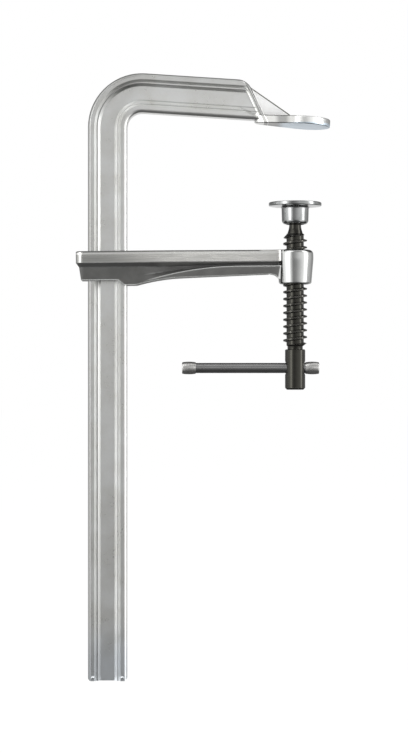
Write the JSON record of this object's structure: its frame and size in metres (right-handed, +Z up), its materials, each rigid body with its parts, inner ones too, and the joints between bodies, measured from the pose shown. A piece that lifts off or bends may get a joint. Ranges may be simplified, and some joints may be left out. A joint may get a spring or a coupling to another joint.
{
  "type": "screw clamp",
  "caption": "All-steel screw clamp: forged fixed jaw on a profiled rail, sliding arm, threaded spindle with swivelling pressure plate and sliding tommy bar.",
  "frame": {"origin": "where the spindle axis meets the flat face of the fixed jaw's pad", "axes": "+Z up the rail towards the fixed jaw, +X from the rail through the spindle, +Y across the rail's thickness"},
  "size_m": [0.2116, 0.044, 0.5051],
  "materials": {
    "plated_rail": "zinc-plated drawn and forged steel, satin",
    "forged_arm": "dark polished forging, bright at the boss",
    "black_oxide": "black oxide, lightly oiled",
    "dark_bar": "drawn bar, browned",
    "bright_caps": "bright turned steel",
    "bright_plate": "bright plated steel",
    "spring_wire": "bare spring wire"
  },
  "bodies": {
    "rail": {"rail_with_fixed_jaw": "plated_rail"},
    "arm": {"sliding_arm": "forged_arm"},
    "ring": {"plate_retaining_ring": "spring_wire"},
    "spindle": {"spindle": "black_oxide"},
    "bar": {"tommy_bar": "dark_bar", "bar_end_cap_left": "bright_caps", "bar_end_cap_right": "bright_caps"},
    "plate": {"pressure_plate": "bright_plate"}
  },
  "joints": [
    {"name": "arm_slide", "type": "slide", "parent": "rail", "child": "arm", "axis": [0, 0, 1], "range_m": [-0.322, 0.009]},
    {"name": "spindle_feed", "type": "slide", "parent": "arm", "child": "ring", "axis": [0, 0, 1], "range_m": [-0.018, 0.047]},
    {"name": "spindle_turn", "type": "hinge", "parent": "ring", "child": "spindle", "pos_m": [0, 0, -0.0746], "axis": [0, 0, 1], "range_deg": [-1126, 2942]},
    {"name": "bar_slide", "type": "slide", "parent": "spindle", "child": "bar", "axis": [1, 0, 0], "range_m": [0, 0.074]},
    {"name": "plate_tilt", "type": "hinge", "parent": "ring", "child": "plate", "pos_m": [0, 0, -0.0746], "axis": [0, 1, 0], "range_deg": [-15, 15]}
  ],
  "couplings": [
    {"joint": "spindle_feed", "follows": "spindle_turn", "m_per_rad": 0.00091514}
  ]
}
